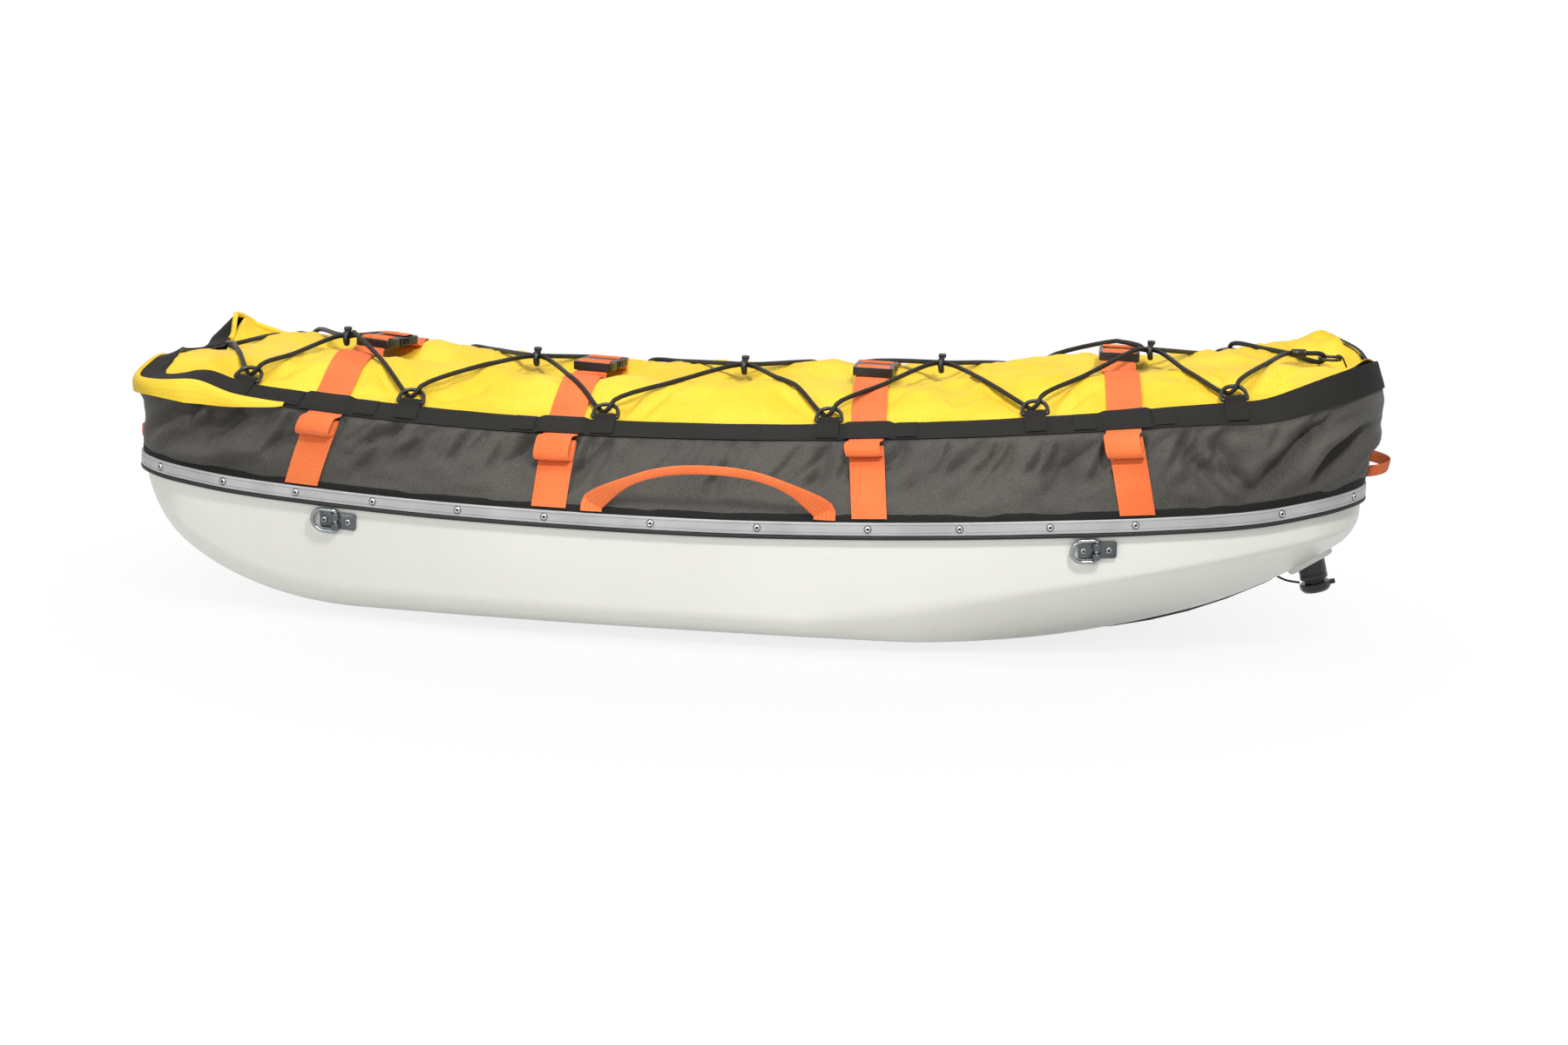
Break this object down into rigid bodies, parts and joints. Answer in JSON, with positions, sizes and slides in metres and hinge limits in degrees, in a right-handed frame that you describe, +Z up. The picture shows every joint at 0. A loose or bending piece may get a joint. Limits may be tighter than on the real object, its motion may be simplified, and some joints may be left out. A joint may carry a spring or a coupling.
{
  "type": "pulk sled",
  "caption": "Covered hauling sled: laminate hull on runners, aluminium rail, folded fabric cover with load straps, buckles and a laced shock cord, and a towing hitch under the bow.",
  "frame": {"origin": "on the ground under the middle of the hull, between the soles of the runners", "axes": "+X towards the bow, +Y to the far side, +Z up"},
  "size_m": [1.5097, 0.5768, 0.3751],
  "materials": {
    "gelcoat": "gloss",
    "runner_plastic": "matt",
    "rail_aluminium": "satin",
    "rubber": "matt",
    "skirt_fabric": "matt",
    "cover_fabric": "satin",
    "black_webbing": "matt",
    "orange_webbing": "matt",
    "black_plastic": "satin",
    "cord": "matt",
    "dark_steel": "satin",
    "bright_steel": "polished"
  },
  "bodies": {
    "sled": {"band_far": "black_webbing", "band_near": "black_webbing", "bow_ring": "black_plastic", "buckle_plug_1": "black_plastic", "buckle_plug_2": "black_plastic", "buckle_plug_3": "black_plastic", "buckle_plug_4": "black_plastic", "buckle_socket_1": "black_plastic", "buckle_socket_2": "black_plastic", "buckle_socket_3": "black_plastic", "buckle_socket_4": "black_plastic", "cord_link_1": "black_plastic", "cord_link_2": "black_plastic", "cord_link_3": "black_plastic", "cord_link_4": "black_plastic", "cord_link_5": "black_plastic", "cover": "cover_fabric", "hitch_lanyard": "cord", "hitch_socket": "black_plastic", "hull_shell": "gelcoat", "lashing_plate_bow_far": "dark_steel", "lashing_plate_bow_near": "dark_steel", "lashing_plate_stern_far": "dark_steel", "lashing_plate_stern_near": "dark_steel", "rail_far": "rail_aluminium", "rail_near": "rail_aluminium", "rim_seal": "rubber", "runner_centre": "runner_plastic", "runner_far": "runner_plastic", "runner_near": "runner_plastic", "shock_cord": "cord", "skirt_far": "skirt_fabric", "skirt_near": "skirt_fabric", "stern_flap": "cover_fabric", "stern_hook": "black_plastic", "strap_1_far": "orange_webbing", "strap_1_near": "orange_webbing", "strap_2_far": "orange_webbing", "strap_2_near": "orange_webbing", "strap_3_far": "orange_webbing", "strap_3_near": "orange_webbing", "strap_4_far": "orange_webbing", "strap_4_near": "orange_webbing"},
    "lashing_ring_stern_near": {"lashing_ring_stern_near": "bright_steel"},
    "lashing_ring_stern_far": {"lashing_ring_stern_far": "bright_steel"},
    "lashing_ring_bow_near": {"lashing_ring_bow_near": "bright_steel"},
    "lashing_ring_bow_far": {"lashing_ring_bow_far": "bright_steel"},
    "hitch_collar": {"hitch_collar": "black_plastic"},
    "handle_near": {"handle_near": "orange_webbing"},
    "handle_far": {"handle_far": "orange_webbing"},
    "handle_bow": {"handle_bow": "orange_webbing"},
    "handle_stern": {"handle_stern": "orange_webbing"},
    "buckle_prong_1_stern": {"buckle_prong_1_stern": "black_plastic"},
    "buckle_prong_1_bow": {"buckle_prong_1_bow": "black_plastic"},
    "buckle_prong_2_stern": {"buckle_prong_2_stern": "black_plastic"},
    "buckle_prong_2_bow": {"buckle_prong_2_bow": "black_plastic"},
    "buckle_prong_3_stern": {"buckle_prong_3_stern": "black_plastic"},
    "buckle_prong_3_bow": {"buckle_prong_3_bow": "black_plastic"},
    "buckle_prong_4_stern": {"buckle_prong_4_stern": "black_plastic"},
    "buckle_prong_4_bow": {"buckle_prong_4_bow": "black_plastic"}
  },
  "joints": [
    {"name": "lashing_ring_stern_near_swing", "type": "hinge", "parent": "sled", "child": "lashing_ring_stern_near", "pos_m": [-0.46531, -0.22401, 0.12409], "axis": [0.0061, -0.158, 0.9874], "range_deg": [0, 175]},
    {"name": "lashing_ring_stern_far_swing", "type": "hinge", "parent": "sled", "child": "lashing_ring_stern_far", "pos_m": [-0.46531, 0.22401, 0.12409], "axis": [-0.0061, -0.158, -0.9874], "range_deg": [0, 175]},
    {"name": "lashing_ring_bow_near_swing", "type": "hinge", "parent": "sled", "child": "lashing_ring_bow_near", "pos_m": [0.41507, -0.23278, 0.14147], "axis": [-0.0121, -0.1925, 0.9812], "range_deg": [0, 175]},
    {"name": "lashing_ring_bow_far_swing", "type": "hinge", "parent": "sled", "child": "lashing_ring_bow_far", "pos_m": [0.41507, 0.23278, 0.14147], "axis": [0.0121, -0.1925, -0.9812], "range_deg": [0, 175]},
    {"name": "hitch_collar_turn", "type": "hinge", "parent": "sled", "child": "hitch_collar", "pos_m": [0.67032, 0, 0.10015], "axis": [-0.2419, 0, 0.9703], "range_deg": [0, 90]},
    {"name": "handle_near_swing", "type": "hinge", "parent": "sled", "child": "handle_near", "pos_m": [-0.02808, -0.25725, 0.16546], "axis": [0.9997, -0.0123, 0.0202], "range_deg": [0, 90]},
    {"name": "handle_far_swing", "type": "hinge", "parent": "sled", "child": "handle_far", "pos_m": [-0.02808, 0.25725, 0.16546], "axis": [-0.9997, -0.0123, -0.0202], "range_deg": [0, 90]},
    {"name": "handle_bow_swing", "type": "hinge", "parent": "sled", "child": "handle_bow", "pos_m": [0.72461, 0, 0.21463], "axis": [0, 1, 0], "range_deg": [0, 80]},
    {"name": "handle_stern_swing", "type": "hinge", "parent": "sled", "child": "handle_stern", "pos_m": [-0.72296, 0, 0.18383], "axis": [0, -1, 0], "range_deg": [0, 65]},
    {"name": "buckle_prong_1_stern_press", "type": "hinge", "parent": "sled", "child": "buckle_prong_1_stern", "pos_m": [-0.47547, 0.00829, 0.30448], "axis": [0, 0, -1], "range_deg": [0, 10], "stiffness_Nm_per_rad": 0.3},
    {"name": "buckle_prong_1_bow_press", "type": "hinge", "parent": "sled", "child": "buckle_prong_1_bow", "pos_m": [-0.44157, -0.00752, 0.30448], "axis": [0, 0, 1], "range_deg": [0, 10], "stiffness_Nm_per_rad": 0.3},
    {"name": "buckle_prong_2_stern_press", "type": "hinge", "parent": "sled", "child": "buckle_prong_2_stern", "pos_m": [-0.21206, -0.00433, 0.29153], "axis": [0, 0, -1], "range_deg": [0, 10], "stiffness_Nm_per_rad": 0.3},
    {"name": "buckle_prong_2_bow_press", "type": "hinge", "parent": "sled", "child": "buckle_prong_2_bow", "pos_m": [-0.17548, -0.0121, 0.29153], "axis": [0, 0, 1], "range_deg": [0, 10], "stiffness_Nm_per_rad": 0.3},
    {"name": "buckle_prong_3_stern_press", "type": "hinge", "parent": "sled", "child": "buckle_prong_3_stern", "pos_m": [0.12085, -0.00741, 0.30281], "axis": [0, 0, -1], "range_deg": [0, 10], "stiffness_Nm_per_rad": 0.3},
    {"name": "buckle_prong_3_bow_press", "type": "hinge", "parent": "sled", "child": "buckle_prong_3_bow", "pos_m": [0.1582, -0.00937, 0.30281], "axis": [0, 0, 1], "range_deg": [0, 10], "stiffness_Nm_per_rad": 0.3},
    {"name": "buckle_prong_4_stern_press", "type": "hinge", "parent": "sled", "child": "buckle_prong_4_stern", "pos_m": [0.41028, 0.0076, 0.33397], "axis": [0, 0, -1], "range_deg": [0, 10], "stiffness_Nm_per_rad": 0.3},
    {"name": "buckle_prong_4_bow_press", "type": "hinge", "parent": "sled", "child": "buckle_prong_4_bow", "pos_m": [0.44768, 0.0076, 0.33397], "axis": [0, 0, 1], "range_deg": [0, 10], "stiffness_Nm_per_rad": 0.3}
  ]
}
